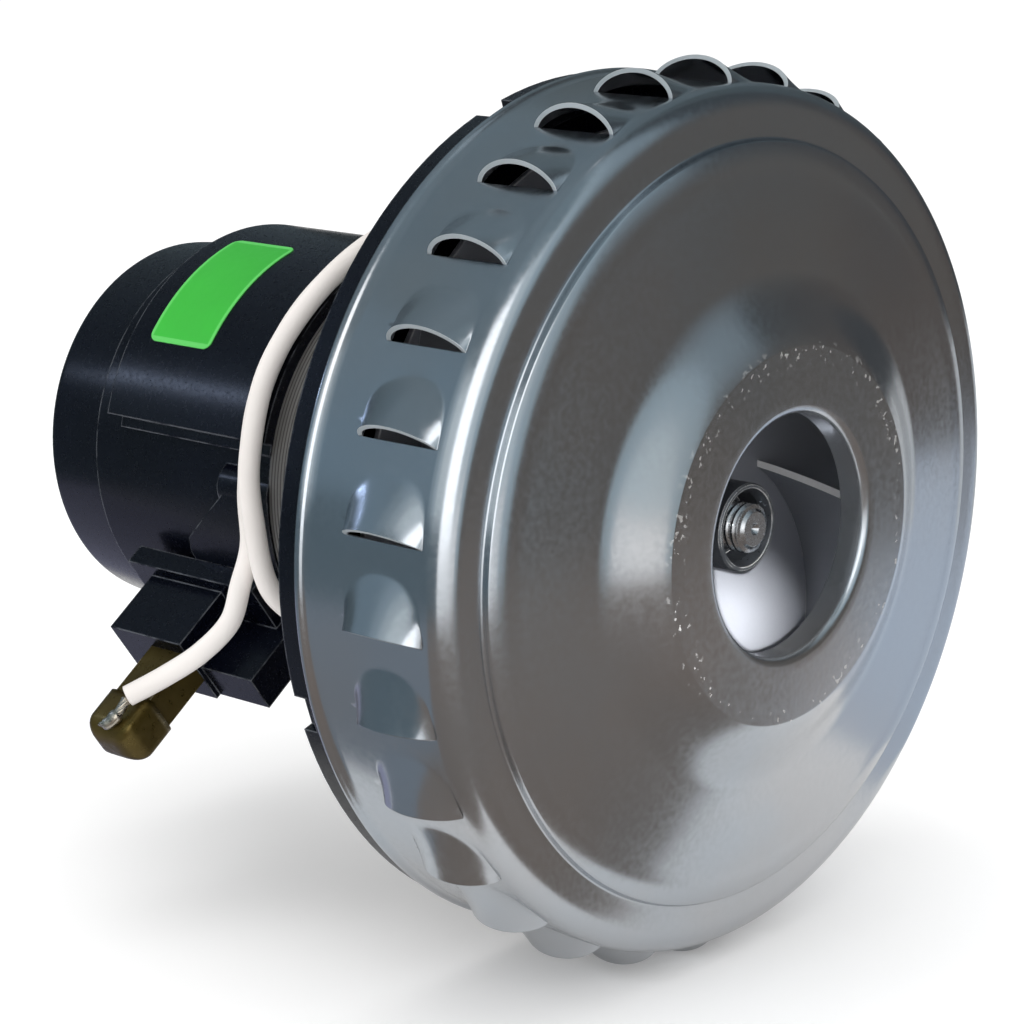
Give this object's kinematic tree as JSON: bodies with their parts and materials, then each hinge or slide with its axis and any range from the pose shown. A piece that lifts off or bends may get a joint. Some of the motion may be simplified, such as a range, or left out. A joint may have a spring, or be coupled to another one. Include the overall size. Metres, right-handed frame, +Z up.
{
  "type": "vacuum motor unit",
  "caption": "Suction fan and brush motor for a vacuum cleaner: louvred pressed-steel fan shell with a round inlet, black motor housing, brass brush holders and white leads.",
  "frame": {"origin": "on the shaft's axis, in the middle of the inlet's straight throat", "axes": "+X runs along the shaft out of the inlet, +Z is up as pictured, +Y is to the left seen from the front of the inlet"},
  "size_m": [0.141, 0.1458, 0.1464],
  "materials": {
    "shell_steel": "satin",
    "fan_steel": "satin",
    "nut_steel": "satin",
    "bright_steel": "polished",
    "black_plastic": "satin",
    "stack_steel": "matte",
    "copper": "satin",
    "brass": "tarnished",
    "carbon": "matte",
    "dark_resin": "matte",
    "sleeve_white": "matte",
    "label_green": "satin"
  },
  "bodies": {
    "frame": {"fan_shell": "shell_steel", "front_bearing_outer": "bright_steel", "rear_bearing_outer": "bright_steel", "bearing_plate": "bright_steel", "plate_screws": "bright_steel", "through_screws": "bright_steel", "cap_screws": "bright_steel", "preload_washer": "bright_steel", "brush_spring_a": "bright_steel", "brush_spring_b": "bright_steel", "front_bracket": "black_plastic", "motor_housing": "black_plastic", "rear_cap": "black_plastic", "brush_block_a": "black_plastic", "brush_block_b": "black_plastic", "field_core": "stack_steel", "field_coil_upper": "copper", "field_coil_lower": "copper", "lead_tips": "copper", "brush_tube_a": "brass", "brush_tube_b": "brass", "brush_cap_a": "brass", "brush_cap_b": "brass", "supply_tabs": "brass", "lead_a": "sleeve_white", "lead_b": "sleeve_white", "label": "label_green"},
    "rotor": {"shaft": "bright_steel", "fan_front_plate": "fan_steel", "fan_back_plate": "fan_steel", "fan_blades": "fan_steel", "fan_hub": "fan_steel", "fan_nut": "nut_steel", "fan_spacer": "nut_steel", "armature_core": "stack_steel", "armature_winding": "copper", "commutator_bars": "copper", "commutator_hub": "dark_resin", "cooling_fan": "dark_resin", "front_bearing_inner": "bright_steel", "rear_bearing_inner": "bright_steel"},
    "front_balls": {"front_bearing_balls": "bright_steel", "front_bearing_cage": "brass"},
    "rear_balls": {"rear_bearing_balls": "bright_steel", "rear_bearing_cage": "brass"},
    "brush_a": {"carbon_brush_a": "carbon"},
    "brush_b": {"carbon_brush_b": "carbon"}
  },
  "joints": [
    {"name": "rotor_spin", "type": "hinge", "parent": "frame", "child": "rotor", "pos_m": [0, 0, 0], "axis": [1, 0, 0], "continuous": true},
    {"name": "front_cage_spin", "type": "hinge", "parent": "frame", "child": "front_balls", "pos_m": [0, 0, 0], "axis": [1, 0, 0], "continuous": true},
    {"name": "rear_cage_spin", "type": "hinge", "parent": "frame", "child": "rear_balls", "pos_m": [0, 0, 0], "axis": [1, 0, 0], "continuous": true},
    {"name": "brush_slide_a", "type": "slide", "parent": "frame", "child": "brush_a", "axis": [0, -0.8039, -0.5948], "range_m": [0, 0.008], "stiffness_N_per_m": 150, "springref_m": -0.02, "deforming": ["brush_spring_a"]},
    {"name": "brush_slide_b", "type": "slide", "parent": "frame", "child": "brush_b", "axis": [0, 0.8039, 0.5948], "range_m": [0, 0.008], "stiffness_N_per_m": 150, "springref_m": -0.02, "deforming": ["brush_spring_b"]}
  ],
  "couplings": [
    {"joint": "front_cage_spin", "follows": "rotor_spin", "ratio": 0.368},
    {"joint": "rear_cage_spin", "follows": "rotor_spin", "ratio": 0.368}
  ]
}
